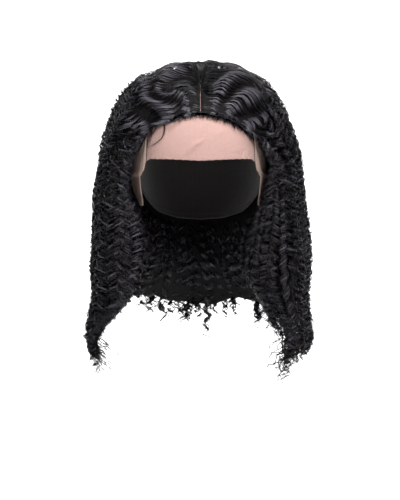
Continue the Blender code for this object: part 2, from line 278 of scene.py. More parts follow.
# Ear tabs
# The real ones are tongues of doubled lace in front of the ears, sewn over the lace and gathered in a
# knot at its edge, so they look tan. The wearer's right one stands a little off the head.
TabRow = namedtuple("TabRow", "height front back")
TAB_ROWS = (
    TabRow(height=-0.0640, front=45.0, back=72.0),
    TabRow(height=-0.0900, front=44.5, back=74.0),
    TabRow(height=-0.1030, front=47.0, back=75.0),
    TabRow(height=-0.1090, front=54.0, back=75.0),
    TabRow(height=-0.1250, front=55.0, back=76.0),
    TabRow(height=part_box("ear_tab_left")[0].z, front=60.0, back=76.0),
)
TAB_MARKS = (60, 37)
TAB_LIFT = 0.0012
TAB_RIB = 0.0008
TAB_RIB_WAVE = 0.0048
TAB_KNOT_HEIGHT = -0.1065
TAB_KNOT_TALL = 0.0035
TAB_KNOT = 0.0022
TAB_STANDS_OFF = {1: 0.0012, -1: 0.0070}
TAB_STANDS_HIGH = 0.8
TAB_FRONT_SHARE = 0.1
TAB_COLOUR = (0.185, 0.130, 0.108)
TAB_THREAD = (0.33, 0.235, 0.195)
tab_finish = net_finish("doubled_lace", TAB_COLOUR, TAB_THREAD, NET_CELL, hole_alpha=0.88, roughness=0.66)


def tab_grid(side):
    """One tab's middle surface, with its upright ribs and the knot where it is gathered."""
    columns = list(zip(*TAB_ROWS))
    tall = np.linspace(columns[0][0], columns[0][-1], TAB_MARKS[0])
    front, back = (np.interp(-tall, -np.array(columns[0]), edge) for edge in columns[1:])
    across = np.linspace(0, 1, TAB_MARKS[1])
    azimuth = front[:, None] + (back - front)[:, None] * across
    height = np.broadcast_to(tall[:, None], azimuth.shape)
    ways = way_on_head(azimuth, height)
    flat = on_cloth(ways, WALL)
    along = along_rows(flat.swapaxes(0, 1)).T
    ribs = TAB_RIB * np.cos(2 * math.pi * (along - along[:, -1:] / 2) / TAB_RIB_WAVE)
    knot = TAB_KNOT * np.exp(-(((height - TAB_KNOT_HEIGHT) / TAB_KNOT_TALL) ** 2)) * np.sin(math.pi * across)
    down = (tall[0] - height) / (tall[0] - tall[-1])
    open_behind = TAB_FRONT_SHARE + (1 - TAB_FRONT_SHARE) * across
    stands = TAB_STANDS_OFF[side] * np.sin(np.pi * down**TAB_STANDS_HIGH) * open_behind
    grid = on_cloth(ways, WALL + TAB_LIFT + ribs + knot + stands)
    grid[..., 0] *= side
    return grid if side > 0 else grid[:, ::-1]


for side, tab_name in ((1, "left"), (-1, "right")):
    grid = tab_grid(side)
    tab = cloth_piece(f"lace_tab_{tab_name}", grid, LACE_THICK * 2, tab_finish)
    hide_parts(f"ear_tab_{tab_name}")
    grid_area(grid)

# Net cap
# The real one is black stretch net over the back of the head, joined to the lace along the seam over
# the crown, with its lower edge turned up and sewn into a narrow band.
CAP_THICK = 0.0008
CAP_MARKS = 90
CAP_COLOUR = (0.006, 0.005, 0.005)
CAP_THREAD = (0.030, 0.027, 0.027)
CAP_CELL = 0.0016
BAND_TALL = 0.007
BAND_PROUD = 0.0007
BAND_EDGE = 0.001
NAPE_AZIMUTH = (98, 120, 140, 160, 180)
NAPE_HEIGHT = (-0.108, -0.130, -0.150, -0.158, -0.160)
cap_across = np.linspace(-1, 1, CAP_MARKS)
cap_behind = 180 - np.abs(cap_across) * (180 - NAPE_AZIMUTH[0])
cap_hem = np.interp(cap_behind, NAPE_AZIMUTH, NAPE_HEIGHT)
cap_ends = way_on_head(np.copysign(cap_behind, cap_across), cap_hem)
cap_ways = slerp(seam_ways(cap_across), cap_ends, np.linspace(0, 1, CAP_MARKS)[:, None, None])
cap_flat = on_cloth(cap_ways, WALL / 2)
to_edge = along_rows(cap_flat)[-1] - along_rows(cap_flat)
turned_up = np.clip((BAND_TALL - to_edge) / BAND_EDGE, 0, 1)
cap_grid = on_cloth(cap_ways, WALL / 2 - BAND_PROUD / 2 + BAND_PROUD * turned_up)
cap_finish = net_finish("black_net", CAP_COLOUR, CAP_THREAD, CAP_CELL, hole_alpha=1.0, roughness=0.7)
cap = cloth_piece("net_cap", cap_grid, CAP_THICK, cap_finish)
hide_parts("crown_cap")
grid_area(cap_grid)

# Undercoat
# In the depth of the real hair the curls close into a mass of hair in shade. It is a wall of hair between the
# lining side and the outer curls, coloured darker than them as painted shade, and everything else of the hair
# is laid out from the same map.
FACE_EDGE = 57.0
LOCKS = 22
LOCK_ANGLE = (360 - 2 * FACE_EDGE) / LOCKS
TOP_LOCKS = 4
PART_FRONT = -0.084
PART_BACK = -0.008
PART_HALF_GAP = 0.0004
CROWN_RING = 0.003
HAIRLINE_ARCH = 0.13
FRONT_TURN = 37.0
FRONT_COLUMNS = 25
FRONT_BULGE = 0.26
MAIN_COLUMNS = 165
COLUMN_INSET = 0.3
UPPER_ROWS = 17
HANGING_STEP = 0.008
FIRST_DROP = 0.003
PAST_TIPS = 0.02
FAR = 0.4
WALL_LEAST = 0.003
VOLUME = 0.0034
VOLUME_LESS = 0.0045
VOLUME_LESS_AT = 95.0
VOLUME_LESS_SPAN = (20, 60)
VOLUME_LESS_GROWS = (6, 10)
VOLUME_LESS_ENDS = (13, 17)
VOLUME_ROWS = 12.0
FaceSide = namedtuple("FaceSide", "height left right")
FACE_SIDES = (
    FaceSide(height=-0.046, left=0.0200, right=0.0300),
    FaceSide(height=-0.052, left=0.0400, right=0.0560),
    FaceSide(height=-0.066, left=0.0630, right=0.0630),
    FaceSide(height=-0.078, left=0.0735, right=0.0690),
    FaceSide(height=-0.090, left=0.0770, right=0.0745),
    FaceSide(height=-0.100, left=0.0790, right=0.0800),
    FaceSide(height=-0.118, left=0.0755, right=0.0840),
    FaceSide(height=-0.131, left=0.0735, right=0.0835),
    FaceSide(height=-0.142, left=0.0705, right=0.0785),
    FaceSide(height=-0.161, left=0.0600, right=0.0670),
    FaceSide(height=-0.185, left=0.0510, right=0.0585),
    FaceSide(height=-0.214, left=0.0485, right=0.0540),
    FaceSide(height=-0.227, left=0.0528, right=0.0590),
    FaceSide(height=-0.245, left=0.0620, right=0.0720),
    FaceSide(height=-0.262, left=0.0702, right=0.0880),
    FaceSide(height=-0.300, left=0.0805, right=0.1050),
    FaceSide(height=-0.340, left=0.0890, right=0.1120),
)
FACE_DEPTHS = (-0.03, 0.01)
FLARE_HEIGHTS = (0.235, 0.300)
FLARE_ENDS = (0.300, 0.322)
FLARE_TIPS = 0.5
FLARE_SIDES = (0.05, 0.11)
FLARE_LEFT = 0.0115
FLARE_RIGHT = 0.0165
SKIN_ROOM = 0.0060
FRONT_SHORTER = 8.0
FRONT_SHORTER_CURVE = 1.5
CORE_ROOM = 0.0025
HAIRLINE_THINNED = 0.70
THINNED_ROWS = (9, 17)
THINNED_SPAN = (0, 16)
ROLLED_IN = 0.78
HAIR_SHINE = 0.10
FIBRE_STRETCH = (3.5, 45.0, 1.0)
FIBRE_RELIEF = 0.0008
INNERMOST = 0.92
# Undercoat colours: the black hair darkened further, as painted shade of the hair's depth.
COAT_SHADE_DARK = (0.0010, 0.0009, 0.0011)
COAT_SHADE_LIGHT = (0.004, 0.0037, 0.004)
COAT_MARKS = 48
COAT_DEPTH = 0.0085
COAT_DEPTH_TOP = 0.6
COAT_DEPTH_GROWS = (9, 18)
COAT_MOST = 0.80
COAT_ROOT_ROWS = 5.0
COAT_ROOT_DEPTH = 0.007
COAT_SHORTER = 5.0
COAT_FRONT_SHORTER = 12.0
COAT_FRONT_SPAN = (60, 90)
COAT_STREAKS = 40
COAT_TONE = 0.5
HAIR_NODES = (
    "hair_top_left", "hair_top_right", "hair_crown", "hair_side_left", "hair_side_right", "hair_back",
)


def hair_tree():
    points, faces = [], []
    for name in HAIR_NODES:
        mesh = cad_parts[name].data
        first = len(points)
        points += [corner.co.copy() for corner in mesh.vertices]
        faces += [tuple(first + i for i in face.vertices) for face in mesh.polygons]
    return BVHTree.FromPolygons(points, faces)


def upper_way(azimuth, share):
    """Direction along a lock's line over the head, from the parting or the crown to ear level."""
    lock = (azimuth - FACE_EDGE) / LOCK_ANGLE
    from_end = min(lock, LOCKS - lock)
    if from_end <= TOP_LOCKS:
        forward = PART_FRONT + (PART_BACK - PART_FRONT) * from_end / TOP_LOCKS
        sideways = math.copysign(PART_HALF_GAP, LOCKS / 2 - lock)
    else:
        ring = flat_way(azimuth) * CROWN_RING
        forward, sideways = PART_BACK + ring[1], ring[0]
    rise = (1 - (abs(forward) / HEAD_HALF_LENGTH) ** HEAD_POWER) ** (1 / HEAD_POWER)
    start = unit(np.array([sideways, forward, HEAD_ABOVE * rise]))
    way = slerp(start, flat_way(azimuth), share)
    way[2] += HAIRLINE_ARCH * (1 - min(1.0, from_end / TOP_LOCKS)) * math.sin(math.pi * share)
    return unit(way)


def filled(lengths):
    """A grid of distances whose gaps take the nearest value up or down their column."""
    steps = np.arange(lengths.shape[0])
    for column in lengths.T:
        known = ~np.isnan(column)
        column[~known] = np.interp(steps[~known], steps[known], column[known])
    return lengths


def softened(lengths, across, down):
    """A grid of distances averaged over a window, to take off the relief of the locks."""
    padded = np.pad(lengths, ((down, down), (across, across)), mode="edge")
    rows, columns = lengths.shape
    windows = [
        padded[i : i + rows, j : j + columns]
        for i in range(2 * down + 1)
        for j in range(2 * across + 1)
    ]
    return np.mean(windows, 0)


def eased(value, start, end):
    step = np.clip((value - start) / (end - start), 0, 1)
    return step * step * (3 - 2 * step)


tree = hair_tree()
main_azimuth = np.linspace(FACE_EDGE + COLUMN_INSET, 360 - FACE_EDGE - COLUMN_INSET, MAIN_COLUMNS)
level_height = np.arange(EAR_LEVEL - FIRST_DROP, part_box("hair_side_left")[0].z - PAST_TIPS, -HANGING_STEP)
ways, centres = [], []
for row in range(UPPER_ROWS):
    ways.append([upper_way(a, row / UPPER_ROWS) for a in main_azimuth])
    centres.append(EAR_LEVEL)
for height in level_height:
    ways.append([flat_way(a) for a in main_azimuth])
    centres.append(height)
ways = np.array(ways)
outer = np.full(ways.shape[:2], np.nan)
inner = outer.copy()
for row, height in enumerate(centres):
    middle = Vector((0, 0, height))
    for column, way in enumerate(ways[row]):
        way = Vector(way)
        hit = tree.ray_cast(middle + way * FAR, -way)[0]
        if hit is not None and (hit - middle).dot(way) > 0:
            outer[row, column] = (hit - middle).length
            inner[row, column] = (tree.ray_cast(middle, way)[0] - middle).length
hem_row = np.array([np.flatnonzero(~np.isnan(column))[-1] for column in outer.T]).astype(float)
hem_row = np.array([hem_row[max(0, i - 3) : i + 4].max() for i in range(len(hem_row))])
outer = softened(filled(outer), 3, 1)
row_numbers = np.arange(len(centres))
swell = VOLUME * np.sqrt(np.sin(np.pi * np.clip(row_numbers / VOLUME_ROWS, 0, 1)))
pressed = VOLUME_LESS * eased(row_numbers, *VOLUME_LESS_GROWS) * (1 - eased(row_numbers, *VOLUME_LESS_ENDS))
beside_ear = 1 - eased(abs(main_azimuth - VOLUME_LESS_AT), *VOLUME_LESS_SPAN)
outer += swell[:, None] - pressed[:, None] * beside_ear
inner = np.minimum(softened(filled(inner), 2, 1), outer - WALL_LEAST)
all_rows = np.arange(len(centres))[:, None]
from_front = np.minimum(main_azimuth - FACE_EDGE, 360 - FACE_EDGE - main_azimuth)[None]
thinned = HAIRLINE_THINNED * (1 - eased(all_rows, *THINNED_ROWS)) * (1 - eased(from_front, *THINNED_SPAN))
outer -= (outer - inner) * thinned
middles = np.zeros((len(centres), 1, 3))
middles[:, 0, 2] = centres
skin_main = middles + ways * outer[..., None]
core_main = middles + ways * inner[..., None]


def turned_front(edge, beside):
    """Columns of the hair's front edge, which turns from the outside in towards the face."""
    outside, inside = skin_main[:, edge], core_main[:, edge]
    middle = (outside + inside) / 2
    forward = unit(middle - (skin_main[:, beside] + core_main[:, beside]) / 2)
    thick = np.linalg.norm(outside - inside, axis=-1, keepdims=True)
    turns = np.linspace(0, ROLLED_IN * math.pi, FRONT_COLUMNS + 1)[1:]
    bulge = forward * thick * FRONT_BULGE
    skins = [middle + (outside - middle) * math.cos(t) + bulge * math.sin(t) for t in turns]
    return np.stack(skins, 1), np.repeat(middle[:, None], len(turns), 1)


def clear_of_face(grid, room):
    """Points of the front half moved outwards, so that the hair keeps its edge beside the face."""
    heights, left, right = zip(*FACE_SIDES)
    height = -grid[..., 2]
    edge = np.where(
        grid[..., 0] > 0,
        np.interp(height, -np.array(heights), left, left=0),
        np.interp(height, -np.array(heights), right, left=0),
    )
    in_front = eased(-grid[..., 1], *FACE_DEPTHS)
    short = np.maximum(edge + room - np.abs(grid[..., 0]), 0) * in_front * (edge > 0)
    moved = grid.copy()
    moved[..., 0] += np.sign(grid[..., 0]) * short
    return moved


def flared(grid):
    """Points of the lower side hair moved outwards, where the curls spread out over the shoulders."""
    low = eased(-grid[..., 2], *FLARE_HEIGHTS) * eased(np.abs(grid[..., 0]), *FLARE_SIDES)
    low = low * (1 - FLARE_TIPS * eased(-grid[..., 2], *FLARE_ENDS))
    moved = grid.copy()
    moved[..., 0] += low * np.where(grid[..., 0] > 0, FLARE_LEFT, -FLARE_RIGHT)
    return moved


left_skin, left_core = turned_front(0, 4)
right_skin, right_core = turned_front(-1, -5)
skin = np.concatenate([left_skin[:, ::-1], skin_main, right_skin], 1)
core = np.concatenate([left_core[:, ::-1], core_main, right_core], 1)
front_steps = np.linspace(0, FRONT_TURN, FRONT_COLUMNS + 1)[1:]
azimuths = [main_azimuth[0] - front_steps[::-1], main_azimuth, main_azimuth[-1] + front_steps]
azimuths = np.concatenate(azimuths)
skin, core = flared(clear_of_face(skin, SKIN_ROOM)), flared(clear_of_face(core, CORE_ROOM))
HEM_LONGER = ((57, 0.0), (72, 1.6), (95, 1.6), (110, 0.0), (268, 0.0), (284, 2.5), (298, 4.0), (345, 4.0))
hem_row += np.interp(main_azimuth, *zip(*HEM_LONGER))
front_shorter = FRONT_SHORTER * np.linspace(0, 1, FRONT_COLUMNS) ** FRONT_SHORTER_CURVE
left_hem, right_hem = hem_row[:6].max() - front_shorter, hem_row[-6:].max() - front_shorter
hem = np.concatenate([left_hem[::-1], hem_row, right_hem])
ALL_ROWS = len(centres)


def mixed(grid, azimuth, row):
    """Points of a grid at azimuths and rows that may lie between its own."""
    across = np.clip(np.interp(azimuth, azimuths, np.arange(len(azimuths))), 0, len(azimuths) - 1.001)
    down = np.clip(row, 0, ALL_ROWS - 1.001)
    i, j = down.astype(int), across.astype(int)
    a, b = (down - i)[..., None], (across - j)[..., None]
    upper = grid[i, j] * (1 - b) + grid[i, j + 1] * b
    lower = grid[i + 1, j] * (1 - b) + grid[i + 1, j + 1] * b
    return upper * (1 - a) + lower * a


def in_hair(azimuth, row, depth):
    """Points below the outside of the hair, and the outward directions there."""
    azimuth, row = np.broadcast_arrays(np.asarray(azimuth, float), np.asarray(row, float))
    outside, inside = mixed(skin, azimuth, row), mixed(core, azimuth, row)
    thick = np.linalg.norm(outside - inside, axis=-1)
    out = (outside - inside) / np.maximum(thick, 1e-5)[..., None]
    return outside - out * np.minimum(depth, thick * INNERMOST)[..., None], out, thick


def hair_finish(name, dark, light, roughness, streak):
    """Fine streaks that run along the hair, and a tone that differs from band to band; on the combed hair the
    tone also carries painted sheen at the wave crests and painted shade in the troughs.
    """
    hair = Finish(name, {"Metallic": 0.0, "Specular IOR Level": HAIR_SHINE, "IOR": 1.5})
    place = hair.node("ShaderNodeUVMap", {"uv_map": "strand"}, {})
    stretch = {0: place, 1: FIBRE_STRETCH}
    lengthwise = hair.node("ShaderNodeVectorMath", {"operation": "MULTIPLY"}, stretch)
    fibres = hair.node("ShaderNodeTexNoise", {}, {"Vector": lengthwise, "Scale": 1.0, "Detail": 4.0})
    tone = hair.node("ShaderNodeAttribute", {"attribute_name": "tone"}, {}, 2)
    hair.feed(
        hair.shader,
        {
            "Base Color": hair.blend(fibres * tone, dark, light),
            "Roughness": fibres * 0.3 + roughness,
            "Normal": hair.bump(fibres, streak, FIBRE_RELIEF),
        },
    )
    return hair, place, fibres


# The undercoat's finish is darker than the outer curls: painted shade over real hair.
coat_hair, _, _ = hair_finish("undercoat_hair", COAT_SHADE_DARK, COAT_SHADE_LIGHT, roughness=0.7, streak=0.9)
coat_azimuth = azimuths[None, ::2]
coat_hem = np.interp(coat_azimuth, azimuths, softened(hem[None], 6, 0)[0])
coat_hem -= COAT_SHORTER + COAT_FRONT_SHORTER * eased(abs(coat_azimuth - 180), *COAT_FRONT_SPAN)
coat_row = np.linspace(0, 1, COAT_MARKS)[:, None] * coat_hem
coat_thick = in_hair(coat_azimuth, coat_row, 0)[2]
coat_root = np.clip(1 - coat_row / COAT_ROOT_ROWS, 0, 1) * np.minimum(0.5 * coat_thick, COAT_ROOT_DEPTH)
coat_depth = COAT_DEPTH * (COAT_DEPTH_TOP + (1 - COAT_DEPTH_TOP) * eased(coat_row, *COAT_DEPTH_GROWS))
coat_depth = np.minimum(coat_depth + coat_root, COAT_MOST * coat_thick)
coat_out = in_hair(coat_azimuth, coat_row, coat_depth)[0]
coat_in = in_hair(coat_azimuth, coat_row, INNERMOST * coat_thick)[0]


def closed_wall(name, outside, inside, finish):
    """A closed body between two grids of the same size."""
    rows, columns = outside.shape[:2]
    number = np.arange(rows * columns).reshape(rows, columns)
    far = number + rows * columns
    loop = np.concatenate([number[0], number[1:, -1], number[-1, -2::-1], number[-2:0:-1, 0], number[:1, 0]])
    sides = np.stack([number[:-1, :-1], number[1:, :-1], number[1:, 1:], number[:-1, 1:]], -1).reshape(-1, 4)
    rim = np.stack([loop[1:], loop[:-1], loop[:-1] + far[0, 0], loop[1:] + far[0, 0]], -1)
    faces = np.concatenate([sides, sides[:, ::-1] + far[0, 0], rim[:, ::-1]])
    points = np.concatenate([outside.reshape(-1, 3), inside.reshape(-1, 3)])
    mesh = bpy.data.meshes.new(name)
    mesh.from_pydata(points.tolist(), [], faces.tolist())
    across = along_rows(outside.swapaxes(0, 1)).T * COAT_STREAKS
    places = np.stack([across, along_rows(outside)], -1).reshape(-1, 2)
    places = np.concatenate([places, places])[faces.reshape(-1)]
    mesh.uv_layers.new(name="strand").data.foreach_set("uv", places.astype(np.float32).ravel())
    tone = mesh.attributes.new("tone", "FLOAT", "POINT")
    tone.data.foreach_set("value", np.full(len(points), COAT_TONE, np.float32))
    mesh.materials.append(finish)
    mesh.shade_smooth()
    piece = bpy.data.objects.new(name, mesh)
    bpy.context.scene.collection.objects.link(piece)
    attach(piece, "root")
    return piece


closed_wall("undercoat", coat_out, coat_in, coat_hair.material)

# Curls
# The real hair is knotted in hair by hair and combed flat away from the parting in soft waves. From the
# temples down it is permed into ringlets, flat bands of fine hairs that thin out to their own tips.
Layer = namedtuple("Layer", "depth gap bands radius width steps")
OUTER = Layer(depth=0.0002, gap=0.0078, bands=6, radius=0.0053, width=0.0029, steps=7)
MIDDLE = Layer(depth=0.0085, gap=0.0105, bands=3, radius=0.0050, width=0.0048, steps=7)
LINING = Layer(depth=1.0, gap=0.0105, bands=3, radius=0.0045, width=0.0050, steps=6)
MIDDLE_FROM = 5.0
CURL_PITCH = 0.0150
BAND_TURN = 0.80
BAND_LOW = 0.16
WAVE_ROWS = 3.5
WAVE_ASIDE = 0.0034
WAVE_PROUD = 0.0030
SWIRL_AZIMUTH = 289.0
SWIRL_ROW = 3.6
SWIRL_TURN = 1.9
SWIRL_REACH = 0.020
COMBED_STEP = 0.0048
COMBED_TO = 4.0
COILED_FROM = 9.5
ROOT_ROWS = 1.0
FACE_COMBED = 5.0
BARE_ROOT_ROWS = 1.1
BARE_TIP_ROWS = 8.0
STRAY_WIDTH = 0.0006
HANGING_ROOM = 0.0045
# Painted sheen and shade on the combed hair: its tone is raised where the soft waves crest and kept near
# black in the troughs.
PAINTED_SHEEN_LEAD = 0.6
COMBED_PAINTED_SHEEN = 5.2
COMBED_TONES = (0.3, 1.7)
TROUGH_PAINTED_SHADE = 0.01
COILED_TONE = 0.05
COILED_TONES = (0.6, 0.50)
BROAD_BEND, BROAD_DEGREES = 1.6, 8
FINE_BEND, FINE_DEGREES = 0.5, 3.1
SLANT, SLANT_ROWS, SLANT_DEGREES = 0.9, 1.7, 13
WAVE_GROWS = (0.5, 2.5)
WAVE_SIZE, WAVE_SIZE_SWING = 0.75, 0.35
WAVE_SIZE_DEGREES, WAVE_SIZE_ROWS = 6.1, 2.1
WAVE_MOST = 0.3
ROOT_DEPTH = 0.6
RINGLET_MARKS = 140
LEAST_MARKS = 5
GRADE_SPREAD = 0.25
GRADE_LIMITS = (0.6, 1.55)
PITCH_GRADE = 0.6
PITCH_SPREAD = (0.8, 1.25)
COIL_START = 1.8
FACE_COMBED_SPAN = (6, 40)
WANDER, WANDER_ROWS = (0.8, 2.6), (2.2, 5.0)
WANDER_GROWS = (6, 15)
BOB, BOB_ROWS = (0.0006, 0.0026), (1.8, 3.6)
DEPTH_SPREAD = (-0.0015, 0.0035)
DEPTH_LEAST = 0.2
TURN_UNEVEN, TURN_UNEVEN_ROWS = 0.25, (1.2, 2.8)
COMBED_TURNS = 0.2
BREATH, BREATH_ROWS = 0.2, (1, 3)
BAND_REACH = (0.7, 1.15)
STRAY_REACH = (1.1, 1.7)
REACH_MOST = 0.75
HANGING_ROWS = (UPPER_ROWS, UPPER_ROWS + 3)
BAND_LENGTHS = (0.93, 1.0)
BAND_WIDTHS = (0.7, 1.2)
LOOSE_ROWS = 9
LOOSE_TURN = 2.0
PHASE_UNEVEN, PHASE_UNEVEN_ROWS = 0.4, (1.5, 4.0)
PHASE_SPREAD = 0.25
ROOT_SPREAD = 0.15
COMBED_DEPTH = 0.0020
COMBED_DEPTHS = (-0.0008, 0.0022)
COMBED_ROOM = (0.001, 0.004)
TIP_ROWS = 5
TIP_LOOSER = 0.4
TIP_NARROW = 0.25
ANY_START = 7
HAIR_DARK = (0.0006, 0.0005, 0.0007)
HAIR_LIGHT = (0.0500, 0.0465, 0.0560)
EDGE_THINNED = 0.85
BARE_THINNED = 0.17
FIBRES_FROM = 0.41
FIBRES_CRISP = 13.0
BAND_SIDES = (0.001, 0.999, 0.5)
SHARP_ANGLE = 80
LENGTH_ROW = 28
ROOT_TURN = 0.8
LAST_ROWS = (-5.5, -2.5, 0.0, 1.0)
LAST_SPREAD = (-1.0, 1.4)
rng = np.random.default_rng(7)

hair_black, band_place, band_fibres = hair_finish(
    "black_hair", HAIR_DARK, HAIR_LIGHT, roughness=0.18, streak=0.8
)
band_across = hair_black.node("ShaderNodeSeparateXYZ", {}, {"Vector": band_place}).fraction() - 0.5
band_bare = hair_black.node("ShaderNodeAttribute", {"attribute_name": "bare"}, {}, 2)
band_cover = band_fibres - band_across * band_across * EDGE_THINNED - band_bare * BARE_THINNED - FIBRES_FROM
band_cover = {0: band_cover * FIBRES_CRISP, 1: 1.0}
band_cover = hair_black.node("ShaderNodeMath", {"operation": "MULTIPLY", "use_clamp": True}, band_cover)
hair_black.feed(hair_black.shader, {"Alpha": band_cover})


def band(points, outward, width, tone, bare):
    """One band as data: its line, the way its face looks, its width, its tone and how bare it is."""
    along = unit(np.gradient(points, axis=0))
    face = unit(outward - along * (outward * along).sum(-1, keepdims=True))
    return points, along, face, width, tone, bare


def swirled(points):
    """Points turned about the middle of the swirl beside the parting, less and less away from it."""
    middle, axis, _ = in_hair(SWIRL_AZIMUTH, SWIRL_ROW, 0.0)
    apart = points - middle
    turn = SWIRL_TURN * np.exp(-((np.linalg.norm(apart, axis=-1, keepdims=True) / SWIRL_REACH) ** 2))
    upright = (apart * axis).sum(-1, keepdims=True) * axis
    across = np.cross(axis, apart)
    return middle + upright + (apart - upright) * np.cos(turn) + across * np.sin(turn)


def wave(azimuth, row):
    """How far the soft waves have swung, and how big they are, at places in the combed hair."""
    swing = 2 * math.pi * row / WAVE_ROWS + BROAD_BEND * np.sin(azimuth / BROAD_DEGREES)
    swing = swing + FINE_BEND * np.sin(azimuth / FINE_DEGREES + 1)
    swing = swing + SLANT * np.sin(row / SLANT_ROWS + azimuth / SLANT_DEGREES)
    size = WAVE_SIZE + WAVE_SIZE_SWING * np.sin(azimuth / WAVE_SIZE_DEGREES + row / WAVE_SIZE_ROWS)
    return swing, eased(row, *WAVE_GROWS) * size


def combed(azimuth, row, depth):
    """Points along combed hair, which rises from the lace at its root and lies in soft waves."""
    root = (1 - eased(row, 0.0, ROOT_ROWS)) * ROOT_DEPTH
    thick = in_hair(azimuth, row, 0.0)[2]
    points, out, _ = in_hair(azimuth, row, depth + root * thick)
    along = unit(np.gradient(points, axis=0))
    swing, size = wave(azimuth, row)
    proud = np.minimum(WAVE_PROUD, WAVE_MOST * thick)[:, None]
    aside = np.cross(along, out) * np.sin(swing)[:, None] * WAVE_ASIDE
    points = points + size[:, None] * (aside + out * np.cos(swing)[:, None] * proud)
    return swirled(points), out


def along_line(values, at):
    """Values of a sampled line at places between its samples."""
    low = np.minimum(at.astype(int), len(values) - 2)
    part = at - low
    if values.ndim > 1:
        part = part[:, None]
    return values[low] * (1 - part) + values[low + 1] * part


def ripple(row, size, rows):
    """A soft swing along a ringlet, with a random length in rows and a random start."""
    return size * np.sin(row / rng.uniform(*rows) + rng.uniform(0, ANY_START))


def ringlet(azimuth, scalp, first, last, layer):
    """The bands of one ringlet: side by side over the scalp, and coiled together below."""
    row = np.linspace(first, last, RINGLET_MARKS)
    grade = float(np.clip(rng.lognormal(0, GRADE_SPREAD), *GRADE_LIMITS))
    size = layer.radius * grade
    pitch = CURL_PITCH * grade**PITCH_GRADE * rng.uniform(*PITCH_SPREAD)
    from_front = min(azimuth - FACE_EDGE, 360 - FACE_EDGE - azimuth)
    later = FACE_COMBED * (1 - float(eased(from_front, *FACE_COMBED_SPAN)))
    start_coil = rng.uniform(-COIL_START, COIL_START) + later
    wander = ripple(row, rng.uniform(*WANDER), WANDER_ROWS)
    bob = ripple(row, rng.uniform(*BOB), BOB_ROWS)
    thick = in_hair(azimuth, row, 0.0)[2]
    deep = layer.depth + rng.uniform(*DEPTH_SPREAD) + bob
    deep = np.minimum(deep, np.maximum(thick - size, DEPTH_LEAST * thick))
    centre, out, _ = in_hair(azimuth + wander * eased(row, *WANDER_GROWS), row, deep)
    length = along_rows(centre)
    coil = eased(row, COMBED_TO + start_coil, COILED_FROM + start_coil)
    turn_length = pitch * (1 + ripple(row, TURN_UNEVEN, TURN_UNEVEN_ROWS))
    turn_length *= 1 + TIP_LOOSER * eased(row, last - TIP_ROWS, last)
    turns = np.diff(length) / turn_length[1:] * (COMBED_TURNS + (1 - COMBED_TURNS) * coil[1:])
    turns = np.concatenate([[0], np.cumsum(turns)])
    by_turn = np.diff(turns) * layer.steps * (coil[1:] > 0)
    pace = np.concatenate([[0], np.cumsum(np.maximum(by_turn, np.diff(length) / COMBED_STEP))])
    marks = np.linspace(0, pace[-1], max(LEAST_MARKS, int(pace[-1])))
    at = np.interp(marks, pace, np.arange(len(row)))
    centre, out, coil, turns, thick, row = (along_line(v, at) for v in (centre, out, coil, turns, thick, row))
    along = unit(np.gradient(centre, axis=0))
    out = unit(out - along * (out * along).sum(-1, keepdims=True))
    side = np.cross(along, out)
    hand = rng.choice((-1, 1))
    start = rng.uniform(0, 2 * math.pi)
    bare = np.maximum(1 - eased(row, first, first + BARE_ROOT_ROWS), eased(row, last - BARE_TIP_ROWS, last))
    narrow = eased(row, last, last - TIP_ROWS) * (1 - TIP_NARROW) + TIP_NARROW
    share = coil[:, None]
    made = []
    for number in range(layer.bands + (layer is OUTER)):
        stray = number == layer.bands
        place = (min(number, layer.bands - 1) + 0.5) / layer.bands - 0.5
        breath = 1 + ripple(row, BREATH, BREATH_ROWS)
        reach = size * rng.uniform(*(STRAY_REACH if stray else BAND_REACH)) * breath
        reach = np.minimum(reach, REACH_MOST * thick + HANGING_ROOM * eased(row, *HANGING_ROWS))
        cut = len(row) if number == 0 else int(len(row) * rng.uniform(*BAND_LENGTHS))
        loose = eased(row, last - LOOSE_ROWS, last) * rng.uniform(-LOOSE_TURN, LOOSE_TURN)
        loose = loose + ripple(row, PHASE_UNEVEN, PHASE_UNEVEN_ROWS)
        phase = hand * 2 * math.pi * turns + start + number * BAND_TURN + rng.normal(0, PHASE_SPREAD) + loose
        ring = np.cos(phase)[:, None] * out + np.sin(phase)[:, None] * side
        coiled = centre + ring * reach[:, None]
        own = azimuth + (place + rng.uniform(-ROOT_SPREAD, ROOT_SPREAD)) * scalp
        flat, flat_out = combed(own, row, layer.depth + COMBED_DEPTH + rng.uniform(*COMBED_DEPTHS))
        flat = clear_of_face(flat, rng.uniform(*COMBED_ROOM))
        line = flat * (1 - share) + coiled * share
        face = ring * share + flat_out * (1 - share)
        wide = (STRAY_WIDTH if stray else layer.width * rng.uniform(*BAND_WIDTHS)) * narrow
        swing, waving = wave(own, row)
        # Painted sheen at the wave crests and painted shade in the troughs, times a random tone for each
        # band.
        crest_sheen = 0.5 + 0.5 * np.cos(swing + PAINTED_SHEEN_LEAD)
        combed_tone_and_sheen = COMBED_PAINTED_SHEEN * (TROUGH_PAINTED_SHADE + crest_sheen**3 * waving) * rng.uniform(*COMBED_TONES)
        tone = combed_tone_and_sheen * (1 - coil) + (COILED_TONE + rng.gamma(*COILED_TONES)) * coil
        made.append(band(line[:cut], face[:cut], wide[:cut], tone[:cut], bare[:cut] * (not stray)))
    return made


